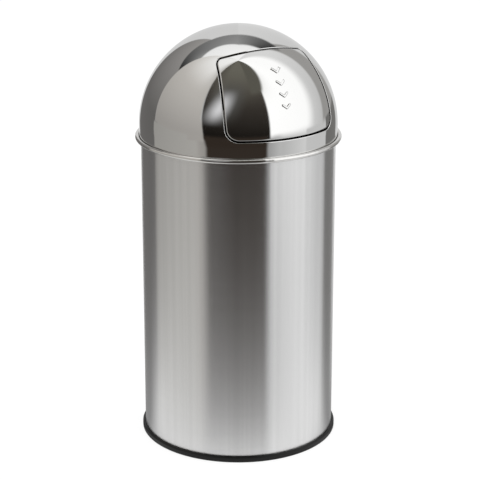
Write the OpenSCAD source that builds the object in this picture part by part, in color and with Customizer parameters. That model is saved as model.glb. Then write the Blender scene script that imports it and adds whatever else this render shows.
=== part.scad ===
// Free-standing litter bin with a dome head and a push flap.
// Millimetres. The origin is the middle of the footprint, +Z is up and the flap faces -Y.

/* [Body] */
// Outer diameter of the steel body
body_d = 340; // [280:1:400]
// Height of the body's top edge above the floor
body_top = 549; // [450:1:650]
// Thickness of the body's sheet
body_wall = 0.8; // [0.6:0.1:1.6]
// Radial width of the hem folded inwards at the body's top edge
hem_w = 2.5; // [2:0.1:4]
// Height of that hem
hem_h = 8; // [5:0.5:14]
// Height of the bottom plate's upper face above the floor
plate_top = 16; // [14:0.5:40]
// Thickness of the bottom plate
plate_t = 0.8; // [0.6:0.1:2]
// Height of the flange turned down at the bottom plate's edge
plate_flange = 8; // [4:0.5:8]

/* [Base ring] */
// Height of the base ring
ring_h = 10.5; // [8:0.5:16]
// How far the base ring stands proud of the body
ring_proud = 5; // [3:0.5:9]
// Thickness of the ring under the body's edge
ring_floor = 3; // [2:0.5:5]
// Radius of the ring's outer edges
ring_round = 2.5; // [1:0.5:3]
// How far the ring reaches inwards from the body's outer face
ring_reach = 14; // [10:1:30]
// Height of the ring's inner lip above its floor
lip_h = 5; // [3:0.5:7]
// Thickness of that lip
lip_t = 3; // [2:0.5:5]

/* [Dome] */
// How far the dome stands proud of the body
dome_proud = 2.8; // [2.5:0.1:6]
// Thickness of the dome's and the flap's sheet
dome_wall = 0.8; // [0.6:0.1:1.5]
// Height of the straight skirt from the rolled rim's middle to the half sphere
skirt_h = 20.7; // [16:0.1:40]
// Radius of the rolled rim
rim_r = 4; // [3:0.1:6]
// How far the rolled rim's middle hangs below the body's top edge
rim_drop = 2.5; // [0:0.1:8]
// Thickness of the collar inside the skirt
collar_t = 1; // [0.8:0.1:2]
// How far the collar reaches down into the body
collar_depth = 20; // [12:1:35]
// Height of the collar's upper band, which is welded to the skirt
collar_band = 10; // [6:0.5:16]
// Radial clearance between the collar and the body's hem
collar_gap = 0.6; // [0.3:0.1:1.5]

/* [Flap] */
// Width of the flap, across the middle of its edge gap
flap_w = 206; // [180:1:220]
// Height of the flap's lower edge above the sphere's centre
flap_low = 11; // [8:0.5:20]
// Height of the flap's crowned upper edge above the sphere's centre
flap_high = 148; // [140:0.5:150]
// Width of the gap round the flap
flap_gap = 1.8; // [1.7:0.1:3]
// Radius of the flap's bowed sides
side_r = 300; // [250:5:500]
// Radius of the flap's crowned upper edge
crown_r = 275; // [230:5:400]
// Radius of the flap's upper corners
upper_corner_r = 18; // [10:1:25]
// Radius of the flap's lower corners
lower_corner_r = 19; // [10:1:28]

/* [Hinge] */
// Distance from the dome's inner face to the hinge axis
pivot_depth = 25.8; // [22:0.1:32]
// Elevation of the hinge axis, seen from the sphere's centre, in degrees
pivot_angle = 67; // [66:0.5:70]
// Diameter of the hinge rod
rod_d = 6; // [5:0.5:7]
// How far the rod's ends stand past their clips
rod_end = 2.8; // [2:0.2:4]
// Distance from the middle plane to each bracket's plate
bracket_x = 65; // [64:0.5:66]
// Distance from the middle plane to each hinge arm's plate
arm_x = 40; // [34:0.5:41]
// Thickness of the brackets' and arms' sheet
hinge_t = 2; // [1.5:0.1:2.2]
// Outer radius of the eyes round the rod
eye_r = 6; // [5.5:0.1:7]
// Length of each eye along the rod
eye_len = 8; // [6:0.5:8]
// Running clearance between the rod and the eyes, on the radius
run_gap = 0.06; // [0.04:0.01:0.1]
// Width of the brackets' and arms' feet
foot_w = 14; // [8:0.5:16]
// Thickness of those feet
foot_t = 1.2; // [0.8:0.1:1.6]
// Outer radius of the push-on clips
clip_r = 5.5; // [5:0.1:6]
// Thickness of the push-on clips
clip_t = 1.2; // [0.8:0.1:1.4]

/* [Springs] */
// Diameter of the spring wire
spring_wire = 1.6; // [1.2:0.1:1.7]
// Curls in each torsion spring
spring_curls = 5; // [3:1:5]
// Distance from one curl to the next
spring_pitch = 2.2; // [2.15:0.05:2.4]
// Clearance between the rod and the curls, on the radius
spring_gap = 0.8; // [0.5:0.1:1.2]

/* [Stops] */
// Distance from the middle plane to the inner end of each stop lug
lug_x = 84; // [78:1:86]
// How far each stop lug reaches past the flap's edge
lug_reach = 14; // [12:1:16]
// Height of the lugs' lower side above the sphere's centre
lug_low = 40; // [36:1:48]
// Width of the stop lugs
lug_w = 22; // [14:1:26]
// Thickness of the stop lugs' sheet
lug_t = 1; // [0.8:0.1:1.4]
// Thickness of the rubber buffers
buffer_t = 2; // [1.2:0.1:3]
// Width of the rubber buffers, sideways
buffer_w = 8; // [6:0.5:9]
// Margin between each buffer and its lug's edges
buffer_edge = 1.5; // [1:0.1:2]
// Distance from the flap's edge back to the lugs' crank
crank_back = 8; // [6:0.5:10]

/* [Liner] */
// Gap between the liner's wall and the body's sheet
liner_gap = 13; // [11:0.5:24]
// Thickness of the liner's sheet
liner_wall_t = 0.6; // [0.5:0.1:1.2]
// Distance from the body's top edge down to the liner's rolled rim
liner_drop = 33.5; // [33:0.5:60]
// Radius of the liner's rolled rim
liner_rim_r = 3.5; // [3:0.1:4.5]
// Height of the liner's recessed bottom above its foot
liner_recess = 10; // [6:0.5:20]

/* [Bail] */
// Diameter of the bail's wire
bail_d = 5; // [4:0.1:6]
// Width of the bail's ears
ear_w = 26; // [18:1:32]
// Length of the ears below the bail
ear_len = 34; // [30:1:50]
// Thickness of the ears
ear_t = 1.5; // [1:0.1:2]
// Height of the ears above the bail's middle
ear_top = 8; // [6:0.5:9]
// Radius of the ears' rivets
rivet_r = 2; // [1.5:0.1:2.5]
// Depth of the upper rivets below the bail's middle
rivet_drop = 14; // [13.5:0.5:16]
// Distance from the upper rivets to the lower ones
rivet_pitch = 13; // [10:0.5:14]
// Loose clearance between the bail and its ears, on the radius
bail_gap = 0.3; // [0.2:0.05:0.5]

/* [Hidden] */
$fn = 128;
// Clearance between curved faces that are welded or pressed together
weld = 0.05;
// Clearance between curved faces that only rest on each other
rest = 0.3;
// How far a cutting shape runs past what it cuts
past = 1;
body_r = body_d / 2;
body_in = body_r - body_wall;
hem_in = body_r - hem_w;
dome_r = body_r + dome_proud;
dome_in = dome_r - dome_wall;
// Height of the dome's sphere centre above the floor
dome_z = body_top - rim_drop + skirt_h;
collar_r = hem_in - collar_gap;
band_r = dome_in - weld;
rod_r = rod_d / 2;
bore_r = rod_r + run_gap;
pivot_r = dome_in - pivot_depth;
// The hinge axis in the (y, z) plane, from the sphere's centre
pivot = [-pivot_r * cos(pivot_angle), pivot_r * sin(pivot_angle)];
flap_half = flap_w / 2;
flap_in = dome_in - weld;
// Middle of each bracket's and arm's eye, and the two ends of the spring's room between them
bracket_mid = bracket_x + hinge_t / 2;
arm_mid = arm_x + hinge_t / 2;
spring_room = [arm_mid + eye_len / 2, bracket_mid - eye_len / 2];
curl_r = rod_r + spring_gap + spring_wire / 2;
clip_x = bracket_mid + eye_len / 2 + weld;
rod_reach = clip_x + clip_t + rod_end;
lug_end = flap_half + lug_reach;
liner_r = body_in - liner_gap;
liner_in = liner_r - liner_wall_t;
liner_rim_z = body_top - liner_drop - liner_rim_r;
// The liner's rolled rim carries the resting bail, and the bail's hoop follows it
hoop_r = liner_in + liner_rim_r;
bail_z = liner_rim_z + liner_rim_r + rest + bail_d / 2;
ear_r = liner_in - weld;

// ---- Plane geometry

function polar(r, a) = [r * cos(a), r * sin(a)];
function arc(c, r, a0, a1, n) = [for (i = [0:n]) c + polar(r, a0 + (a1 - a0) * i / n)];
function mirrored(p) = [for (i = [len(p) - 1:-1:0]) [-p[i].x, p[i].y]];

// Where two circles cross, on the side of larger x
function crossing(c1, r1, c2, r2) =
    let (d = c2 - c1, gap = norm(d), a = (r1 * r1 - r2 * r2 + gap * gap) / (2 * gap),
        h = sqrt(max(0, r1 * r1 - a * a)), foot = c1 + d * a / gap, n = [-d.y, d.x] * h / gap)
    (foot + n).x > (foot - n).x ? foot + n : foot - n;

// The flap's outline seen from the front, grown by g: a flat lower edge, bowed sides and a crowned top
function flap_outline(g) =
    let (low_c = [flap_half - lower_corner_r, flap_low + lower_corner_r],
        side_c = [flap_half - side_r, low_c.y], top_c = [0, flap_high - crown_r],
        up_c = crossing(side_c, side_r - upper_corner_r, top_c, crown_r - upper_corner_r),
        side_a = atan2(up_c.y - side_c.y, up_c.x - side_c.x),
        top_a = atan2(up_c.y - top_c.y, up_c.x - top_c.x),
        half = concat(arc(low_c, lower_corner_r + g, -90, -12, 5),
            arc(side_c, side_r + g, 0, side_a * 0.96, 7),
            arc(up_c, upper_corner_r + g, side_a, top_a, 6),
            arc(top_c, crown_r + g, top_a + (90 - top_a) / 5, 90, 4)))
    concat(half, [for (i = [1:len(half) - 1]) mirrored(half)[i]]);

// A point in the (y, z) plane at radius r and elevation e, seen from the sphere's centre
function seen(r, e) = [-r * cos(e), r * sin(e)];

// ---- Shared solids

module at_dome() translate([0, 0, dome_z]) children();
module both_sides() {
    children();
    mirror([1, 0, 0]) children();
}

// A sheet of the dome's curve between two radii
module sheet(outer, inner) at_dome() difference() {
    sphere(outer);
    sphere(inner);
}

// A prism through the dome's front with the flap's outline, grown by g
module flap_prism(g) at_dome() rotate([90, 0, 0]) linear_extrude(dome_r + past) polygon(flap_outline(g));

// A plate across the X axis, from x on, with an outline in the (y, z) plane
module side_plate(x, t, outline) at_dome() translate([x, 0, 0]) rotate([90, 0, 90])
    linear_extrude(t) polygon(outline);

// A cylinder along X through the hinge axis
module on_pivot(x, len, r) at_dome() translate([x, pivot.x, pivot.y]) rotate([0, 90, 0])
    cylinder(r = r, h = len);

// A sheet edge rolled outwards: a curl that starts at its left and stays open at its upper left
module rolled_edge(r, t) {
    curl_end = 122;
    difference() {
        circle(r);
        circle(r - t);
        polygon([[0, 0], polar(2 * r, curl_end), polar(2 * r, 151), polar(2 * r, 180)]);
    }
}

// A block in front of the dome's middle, between two distances sideways and two heights
module front_block(x0, x1, z0, z1) at_dome() translate([x0, -dome_r, z0]) cube([x1 - x0, dome_r, z1 - z0]);

// ---- Body

module body_shell() color("silver") rotate_extrude() {
    translate([body_in, ring_floor]) square([body_wall, body_top - ring_floor]);
    translate([hem_in, body_top - hem_h]) square([hem_w, hem_h]);
}

module bottom_plate() color("darkgray") rotate_extrude() {
    translate([0, plate_top - plate_t]) square([body_in - weld, plate_t]);
    translate([body_in - weld - plate_t, plate_top - plate_flange]) square([plate_t, plate_flange]);
}

module base_ring() color([0.08, 0.08, 0.08]) {
    ring_r = body_r + ring_proud;
    groove_r = body_in - weld - plate_t - rest;
    rotate_extrude() polygon(concat(
        [[body_r - ring_reach, 0]],
        arc([ring_r - ring_round, ring_round], ring_round, -90, 0, 4),
        arc([ring_r - ring_round, ring_h - ring_round], ring_round, 0, 90, 4),
        [[body_r + weld, ring_h], [body_r + weld, ring_floor], [groove_r, ring_floor],
        [groove_r, ring_floor + lip_h], [groove_r - lip_t, ring_floor + lip_h], [groove_r - lip_t, ring_floor],
        [body_r - ring_reach, ring_floor]]));
}

// ---- Dome

module dome_shell() color("gainsboro") difference() {
    at_dome() rotate_extrude() {
        intersection() {
            difference() {
                circle(dome_r);
                circle(dome_in);
            }
            square(dome_r + past);
        }
        translate([dome_in, -skirt_h]) square([dome_wall, skirt_h]);
        translate([dome_in + rim_r, -skirt_h]) rolled_edge(rim_r, dome_wall);
    }
    flap_prism(flap_gap / 2);
}

module dome_collar() color("lightgray") translate([0, 0, body_top]) rotate_extrude() {
    translate([collar_r - collar_t, -collar_depth]) square([collar_t, collar_depth + collar_t]);
    translate([collar_r - collar_t, 0]) square([band_r - collar_r + collar_t, collar_t]);
    translate([band_r - collar_t, 0]) square([collar_t, collar_band]);
}

// A plate with an eye round the rod and a foot welded against a sheet whose inner radius is r
module hinge_plate(outline, plate_x, foot_x, foot_from, foot_to, r) {
    eye_x = plate_x + (hinge_t - eye_len) / 2;
    difference() {
        union() {
            intersection() {
                at_dome() sphere(r);
                union() {
                    side_plate(plate_x, hinge_t, outline);
                    difference() {
                        side_plate(foot_x, foot_w,
                            [[0, 0], seen(dome_r + past, foot_to), seen(dome_r + past, foot_from)]);
                        at_dome() sphere(r - foot_t);
                    }
                }
            }
            on_pivot(eye_x, eye_len, eye_r);
        }
        on_pivot(eye_x - past, eye_len + 2 * past, bore_r);
    }
}

// The right hinge bracket, welded under the dome above the rod
module hinge_bracket() color("darkgray") {
    foot_from = 72;
    foot_to = 86;
    hinge_plate([seen(pivot_r + eye_r / 2, pivot_angle - 2), seen(dome_r, foot_from - 2), seen(dome_r, foot_to - 2),
        seen(pivot_r + eye_r / 2, foot_to - 2), seen(pivot_r - 0.8 * eye_r, pivot_angle + 2)],
        bracket_x, bracket_x, foot_from, foot_to, band_r);
}

module hinge_rod() color("silver") on_pivot(-rod_reach, 2 * rod_reach, rod_r);

module rod_clips() color("dimgray") both_sides() difference() {
    on_pivot(clip_x, clip_t, clip_r);
    on_pivot(clip_x - past, clip_t + 2 * past, rod_r + weld);
}

// ---- Return springs: one unbroken wire, from a leg on the flap through the curls to a leg on the dome

rings_per_curl = 8;
wire_sides = 6;
wire_r = spring_wire / 2;
// The legs' directions in the (y, z) plane: one runs down the flap, the other back under the dome
flap_leg_a = 196;
dome_leg_a = 29;
spring_x0 = (spring_room[0] + spring_room[1] - spring_curls * spring_pitch) / 2;
turn_from = flap_leg_a + 90;
turn_to = turn_from + 360 * spring_curls + (dome_leg_a + 180 - flap_leg_a);
turn_steps = ceil(rings_per_curl * (turn_to - turn_from) / 360);

// How far a leg runs from p along d before it meets the circle of radius r round the sphere's centre
function leg_run(p, d, r) = let (b = p * d) -b + sqrt(b * b - p * p + r * r);
// Radius of the sheet's inner face in the plane x, less the wire and its clearance
function leg_limit(x, r) = sqrt(r * r - x * x) - wire_r - rest;

function leg_end(x, turn, a, r) =
    let (p = pivot + polar(curl_r, turn), d = polar(1, a)) p + d * leg_run(p, d, leg_limit(x, r));

// Each ring of the wire: [x, centre in the (y, z) plane, the wire's outward direction there]
spring_rings = concat(
    [[spring_x0, leg_end(spring_x0 + wire_r, turn_from, flap_leg_a, flap_in - foot_t), turn_from]],
    [for (i = [0:turn_steps]) let (s = i / turn_steps, a = turn_from + (turn_to - turn_from) * s)
        [spring_x0 + spring_curls * spring_pitch * s, pivot + polar(curl_r, a), a]],
    [[spring_x0 + spring_curls * spring_pitch,
        leg_end(spring_x0 + spring_curls * spring_pitch + wire_r, turn_to, dome_leg_a, dome_in), turn_to]]);

// Least gap between one curl and the next, measured on the wire's middle
curl_points = [for (i = [1:turn_steps + 1]) [spring_rings[i][0], spring_rings[i][1].x, spring_rings[i][1].y]];
echo("least gap between the curls", min([for (i = [0:turn_steps]) for (j = [i + rings_per_curl / 2:1:turn_steps])
    norm(curl_points[i] - curl_points[j])]) - spring_wire);

module return_spring() color("dimgray") at_dome() {
    last = len(spring_rings) - 1;
    end = last * wire_sides;
    points = [for (r = spring_rings) for (k = [0:wire_sides - 1])
        let (q = polar(wire_r, 360 * k / wire_sides), p = r[1] + polar(q.x, r[2])) [r[0] + q.y, p.x, p.y]];
    sides = [for (i = [0:last - 1]) for (k = [0:wire_sides - 1])
        let (a = i * wire_sides + k, b = i * wire_sides + (k + 1) % wire_sides)
        for (f = [[a, b, a + wire_sides], [b, b + wire_sides, a + wire_sides]]) f];
    caps = concat([for (k = [1:wire_sides - 2]) [0, k + 1, k]],
        [for (k = [1:wire_sides - 2]) [end, end + k, end + k + 1]]);
    polyhedron(points, concat(sides, caps));
}

// ---- Flap

module flap_panel() color("gainsboro") intersection() {
    sheet(dome_r, dome_in);
    flap_prism(-flap_gap / 2);
}

// The right hinge arm, welded inside the flap below its upper edge
module hinge_arm() color("darkgray") {
    foot_from = 38;
    foot_to = 54;
    edge_r = sqrt(flap_in * flap_in - arm_x * arm_x);
    hinge_plate([seen(pivot_r + 0.8 * eye_r, pivot_angle + 1), seen(edge_r, foot_to + 2), seen(dome_r, foot_to - 1),
        seen(dome_r, foot_from + 1), seen(pivot_r + 1.3 * eye_r, foot_from + 1),
        seen(pivot_r - 0.8 * eye_r, pivot_angle - 2)],
        arm_x, arm_x + hinge_t - foot_w, foot_from, foot_to, flap_in);
}

// The right stop lug: a cranked tab that carries the buffer behind the dome's edge
lug_out = dome_in - rest - buffer_t - weld;
lug_crank = [flap_half - crank_back, flap_half - crank_back + 2 * lug_t];
module stop_lug() color("darkgray") union() {
    for (step = [[lug_x, lug_crank[1], flap_in, flap_in - lug_t],
        [lug_crank[0], lug_crank[1], flap_in, lug_out - lug_t],
        [lug_crank[0], lug_end, lug_out, lug_out - lug_t]])
        intersection() {
            sheet(step[2], step[3]);
            front_block(step[0], step[1], lug_low, lug_low + lug_w);
        }
}

module stop_buffer() color([0.12, 0.12, 0.12]) intersection() {
    sheet(dome_in - rest, lug_out + weld);
    front_block(lug_end - buffer_w - buffer_edge, lug_end - buffer_edge,
        lug_low + buffer_edge, lug_low + lug_w - buffer_edge);
}

// ---- Liner and bail

// The rivets' holes go through the ears and the wall
module rivet_bodies(x0, x1, r) both_sides() for (drop = [rivet_drop, rivet_drop + rivet_pitch])
    translate([x0, 0, bail_z - drop]) rotate([0, 90, 0]) cylinder(r = r, h = x1 - x0);

module liner_wall() color("lightslategray") difference() {
    rotate_extrude() {
        translate([liner_in, plate_top]) square([liner_wall_t, liner_rim_z - plate_top]);
        translate([liner_in + liner_rim_r, liner_rim_z]) mirror([0, 1]) rolled_edge(liner_rim_r, liner_wall_t);
    }
    rivet_bodies(liner_in - past, hoop_r, rivet_r + weld);
}

module liner_bottom() color("slategray") {
    edge = liner_in - weld;
    translate([0, 0, plate_top]) rotate_extrude() {
        translate([0, liner_recess]) square([edge, liner_wall_t]);
        translate([edge - liner_wall_t, 1]) square([liner_wall_t, liner_recess + liner_wall_t - 1]);
    }
}

module bail_ear() color("slategray") difference() {
    intersection() {
        translate([0, 0, bail_z - ear_len]) rotate_extrude()
            translate([ear_r - ear_t, 0]) square([ear_t, ear_len + ear_top]);
        translate([0, -ear_w / 2, 0]) cube([body_r, ear_w, body_top]);
    }
    translate([liner_in - ear_t - 2 * past, 0, bail_z]) rotate([0, 90, 0])
        cylinder(r = bail_d / 2 + bail_gap, h = ear_t + 3 * past);
    rivet_bodies(ear_r - ear_t - past, liner_r, rivet_r + weld);
}

module ear_rivets() color("silver") {
    head_r = 1.75 * rivet_r;
    head_t = rivet_r / 2;
    rivet_bodies(ear_r - ear_t - head_t, liner_r + head_t, rivet_r);
    rivet_bodies(ear_r - ear_t - head_t, ear_r - ear_t - weld, head_r);
    rivet_bodies(liner_r + weld, liner_r + head_t, head_r);
}

// The bail lies back on the liner's rim: a half hoop whose ends turn inwards through the ears
module bail_wire() color("silver") translate([0, 0, bail_z]) {
    head_in = ear_r - ear_t - 0.8 * bail_d;
    head_t = 0.3 * bail_d;
    rotate_extrude(angle = 180) translate([hoop_r, 0]) circle(bail_d / 2);
    both_sides() {
        translate([hoop_r, 0, 0]) sphere(bail_d / 2);
        translate([head_in, 0, 0]) rotate([0, 90, 0]) cylinder(r = bail_d / 2, h = hoop_r - head_in);
        translate([head_in - head_t, 0, 0]) rotate([0, 90, 0]) cylinder(r = 0.8 * bail_d, h = head_t);
    }
}

body_shell();
bottom_plate();
base_ring();
dome_shell();
dome_collar();
mirror([1, 0, 0]) hinge_bracket();  // hinge_bracket_left
hinge_bracket();  // hinge_bracket_right
hinge_rod();
rod_clips();
mirror([1, 0, 0]) return_spring();  // return_spring_left
return_spring();  // return_spring_right
flap_panel();
mirror([1, 0, 0]) hinge_arm();  // hinge_arm_left
hinge_arm();  // hinge_arm_right
mirror([1, 0, 0]) stop_lug();  // stop_lug_left
stop_lug();  // stop_lug_right
mirror([1, 0, 0]) stop_buffer();  // stop_buffer_left
stop_buffer();  // stop_buffer_right
liner_wall();
liner_bottom();
mirror([1, 0, 0]) bail_ear();  // bail_ear_left
bail_ear();  // bail_ear_right
ear_rivets();
bail_wire();
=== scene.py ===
import math

import bmesh
import bpy
import numpy as np
from mathutils import Matrix, Vector


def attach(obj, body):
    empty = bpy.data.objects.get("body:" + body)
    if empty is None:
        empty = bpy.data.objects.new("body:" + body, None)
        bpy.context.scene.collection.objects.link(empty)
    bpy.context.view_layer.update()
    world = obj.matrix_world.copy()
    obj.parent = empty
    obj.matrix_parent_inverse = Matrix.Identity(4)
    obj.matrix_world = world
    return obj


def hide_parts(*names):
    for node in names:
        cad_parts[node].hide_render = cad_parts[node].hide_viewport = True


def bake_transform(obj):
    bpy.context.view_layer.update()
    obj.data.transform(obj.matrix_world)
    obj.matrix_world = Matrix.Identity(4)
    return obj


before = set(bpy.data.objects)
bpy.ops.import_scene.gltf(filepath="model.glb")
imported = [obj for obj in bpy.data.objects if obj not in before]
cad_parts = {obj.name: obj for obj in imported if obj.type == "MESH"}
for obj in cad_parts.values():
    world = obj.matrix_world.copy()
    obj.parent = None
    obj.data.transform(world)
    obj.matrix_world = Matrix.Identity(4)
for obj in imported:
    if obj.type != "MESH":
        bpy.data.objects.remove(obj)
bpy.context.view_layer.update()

# Sizes in millimetres and degrees, as in the part's source
MM = 0.001
BODY_R, BODY_TOP, BODY_WALL = 170.0, 549.0, 0.8
HEM_W, HEM_H = 2.5, 8.0
PLATE_TOP, PLATE_T, PLATE_FLANGE = 16.0, 0.8, 8.0
RING_H, RING_PROUD, RING_FLOOR, RING_ROUND, RING_REACH = 10.5, 5.0, 3.0, 2.5, 14.0
DOME_R, DOME_Z, SHEET = 172.8, 567.2, 0.8
SKIRT_H, RIM_R = 20.7, 4.0
COLLAR_T, COLLAR_DEPTH, COLLAR_BAND, COLLAR_GAP = 1.0, 20.0, 10.0, 0.6
FLAP_HALF, FLAP_LOW, FLAP_HIGH = 103.0, 11.0, 148.0
SIDE_R, CROWN_R, UPPER_CORNER_R, LOWER_CORNER_R = 300.0, 275.0, 18.0, 19.0
PIVOT_R, PIVOT_ANGLE = 146.2, 67.0
ROD_R, EYE_LEN, ARM_MID, BRACKET_MID, CLIP_T, ROD_END = 3.0, 8.0, 41.0, 66.0, 1.2, 2.8
SPRING_WIRE, SPRING_CURLS, SPRING_PITCH, SPRING_GAP = 1.6, 5, 2.2, 0.8
FLAP_LEG, DOME_LEG, FOOT_T = 196.0, 29.0, 1.2
LINER_GAP, LINER_T, LINER_DROP, LINER_RIM_R, LINER_RECESS = 13.0, 0.6, 33.5, 3.5, 10.0
BAIL_D, EAR_T, RIVET_R, RIVET_DROP, RIVET_PITCH = 5.0, 1.5, 2.0, 14.0, 13.0
WELD, REST = 0.05, 0.3

# Forms that the CAD solids leave out: the gap round the flap and how deep the flap sits, the bends of the
# sheet's edges, the chevrons pressed into the flap, and the body's weld bead
LOW_GAP, SIDE_GAP, TOP_GAP, SINK = 1.9, 2.0, 1.3, 0.5
DOME_BEND, FLAP_BEND, FLAP_LIP, RIM_END = 1.1, 3.5, 0.8, 500.0
MARK_H, MARK_W, MARK_TALL, MARK_LINE, MARK_HEIGHTS = 0.9, 13.0, 5.0, 1.5, (118.0, 100.0, 82.0, 64.0)
BEAD_HALF, BEAD_H, BEAD_END = 2.4, 0.16, 2.0

BODY_IN = BODY_R - BODY_WALL
DOME_IN = DOME_R - SHEET
BAND_R = DOME_IN - WELD
COLLAR_R = BODY_R - HEM_W - COLLAR_GAP
PIVOT = PIVOT_R * np.array([-math.cos(math.radians(PIVOT_ANGLE)), math.sin(math.radians(PIVOT_ANGLE))])
CLIP_X = BRACKET_MID + EYE_LEN / 2 + WELD
LINER_R = BODY_IN - LINER_GAP
LINER_IN = LINER_R - LINER_T
LINER_RIM_Z = BODY_TOP - LINER_DROP - LINER_RIM_R
HOOP_R = LINER_IN + LINER_RIM_R
BAIL_Z = LINER_RIM_Z + LINER_RIM_R + REST + BAIL_D / 2
EAR_R = LINER_IN - WELD


# ---- Nodes and colours

def hex_colour(code):
    """An sRGB hex value as the linear colour that a shader takes."""
    parts = [int(code[i:i + 2], 16) / 255 for i in (1, 3, 5)]
    return [c / 12.92 if c <= 0.04045 else ((c + 0.055) / 1.055) ** 2.4 for c in parts] + [1]


def feed(tree, node, **inputs):
    """Gives each input of a node a value, or the output that feeds it. An input goes by its name, with
    underscores for spaces, or by i and its number. A node stands for its first output."""
    for name, value in inputs.items():
        key = int(name[1:]) if name[1:].isdigit() else name.replace("_", " ")
        if isinstance(value, bpy.types.Node):
            value = value.outputs[0]
        if isinstance(value, bpy.types.NodeSocket):
            tree.links.new(value, node.inputs[key])
        else:
            node.inputs[key].default_value = value


def add(tree, kind, settings=None, **inputs):
    """Adds a node of a kind, named without ShaderNode, with its own settings and its inputs."""
    made = tree.nodes.new("ShaderNode" + kind)
    for name, value in (settings or {}).items():
        setattr(made, name, value)
    feed(tree, made, **inputs)
    return made


PLUS, MINUS = {"operation": "ADD"}, {"operation": "SUBTRACT"}
TIMES, OVER = {"operation": "MULTIPLY"}, {"operation": "DIVIDE"}
TIMES_PLUS = {"operation": "MULTIPLY_ADD"}
LARGER, SCALED = {"operation": "MAXIMUM"}, {"operation": "SCALE"}
DOT = {"operation": "DOT_PRODUCT"}
COLOURS, SMOOTH = {"data_type": "RGBA"}, {"interpolation_type": "SMOOTHSTEP"}


# ---- Camera, lamps and studio

def put_in_scene(name, data):
    """An object with these data, in the scene."""
    made = bpy.data.objects.new(name, data)
    bpy.context.scene.collection.objects.link(made)
    return made


# The photograph's view: a long lens, from 30 degrees to the left of the flap, looking 18 degrees down
camera = put_in_scene("camera", bpy.data.cameras.new("camera"))
bpy.context.scene.camera = camera
camera.data.lens = 132.5
camera.data.sensor_width = 36
camera.location = (-1.491, -2.5825, 1.3425)
camera.rotation_euler = (math.radians(90 - 18.366), 0, math.radians(-30.055))
bpy.context.scene.view_settings.view_transform = "Standard"

# Two soft lamps, one high on the left and one low on the right
LAMP_AIM = Vector((0, 0, 0.4))
for name, size, power, spot in (("lamp_high_left", 2.2, 26, (-2.2, -1.6, 2.8)),
                                ("lamp_right", 1.6, 12, (2.4, -1.4, 1.5))):
    lamp = put_in_scene(name, bpy.data.lights.new(name, "AREA"))
    lamp.data.size = size
    lamp.data.energy = power
    lamp.location = spot
    lamp.rotation_euler = (LAMP_AIM - Vector(spot)).to_track_quat("-Z", "Y").to_euler()
    lamp.visible_glossy = False
    lamp.visible_camera = False

# The studio: the camera sees plain white, the metal sees the white backdrop with the studio's panels and
# flags in front of it, and everything else gets an even light. Turn and rise are the direction's angles in
# degrees, seen from the bin. Turn 0 is towards the camera.
STUDIO_TURN = math.radians(30)
world = bpy.data.worlds.new("studio")
bpy.context.scene.world = world
world.use_nodes = True
sky = world.node_tree
sky.nodes.clear()
aim = add(sky, "TexCoord")
turned_aim = add(sky, "VectorRotate", {"rotation_type": "Z_AXIS"}, Vector=aim.outputs["Generated"],
                 Angle=STUDIO_TURN)
along = add(sky, "SeparateXYZ", Vector=turned_aim)
front = add(sky, "Math", TIMES, i0=along.outputs["Y"], i1=-1.0)
angle = add(sky, "Math", {"operation": "ARCTAN2"}, i0=along.outputs["X"], i1=front)
turn = add(sky, "Math", {"operation": "DEGREES"}, i0=angle)
slope = add(sky, "Math", {"operation": "ARCSINE"}, i0=along.outputs["Z"])
rise = add(sky, "Math", {"operation": "DEGREES"}, i0=slope)
LEVEL, HEAD, UNDER, NADIR, ALL_UP = 0.0, 60.0, -4, -90, (120, 120)


def card(behind, name, colour, low, high, left, right, top, bottom, soft):
    """Hangs a card or a lit panel in what the metal reflects, before what is behind it. low and high are its
    levels at the left and the right side, level with the bin and 60 degrees up. left and right are where it
    ends at those two heights, top where it ends at its two sides, and soft is half the width of its blurred
    edges."""
    masks = []
    for (at_low, at_high), way in ((left, 1), (right, -1)):
        side = add(sky, "Math", TIMES_PLUS, i0=rise, i1=(at_high - at_low) / HEAD, i2=at_low)
        beyond = add(sky, "Math", MINUS, i0=turn, i1=side)
        masks.append(add(sky, "MapRange", SMOOTH, Value=beyond, From_Min=-soft * way, From_Max=soft * way))
    across = dict(Value=turn, From_Min=left[0], From_Max=right[0])
    edge = add(sky, "MapRange", To_Min=top[0], To_Max=top[1], **across)
    above = add(sky, "Math", MINUS, i0=rise, i1=edge)
    masks.append(add(sky, "MapRange", SMOOTH, Value=above, From_Min=soft, From_Max=-soft))
    masks.append(add(sky, "MapRange", SMOOTH, Value=rise, From_Min=bottom - soft, From_Max=bottom + soft))
    mask = masks[0]
    for other in masks[1:]:
        mask = add(sky, "Math", TIMES, i0=mask, i1=other)
    at_foot = add(sky, "MapRange", To_Min=low[0], To_Max=low[1], **across)
    at_head = add(sky, "MapRange", To_Min=high[0], To_Max=high[1], **across)
    level = add(sky, "MapRange", Value=rise, From_Min=LEVEL, From_Max=HEAD, To_Min=at_foot, To_Max=at_head)
    shade = add(sky, "VectorMath", SCALED, i0=hex_colour(colour)[:3], Scale=level)
    return add(sky, "Mix", {**COLOURS, "label": name}, Factor=mask, i6=behind, i7=shade).outputs[2]


def below(name, colour, levels, left, right, soft, top=UNDER):
    """A card below the horizon: its ends are upright, and it is as light at its foot as higher up."""
    return name, colour, levels, levels, (left, left), (right, right), (top, top), NADIR, soft


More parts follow.
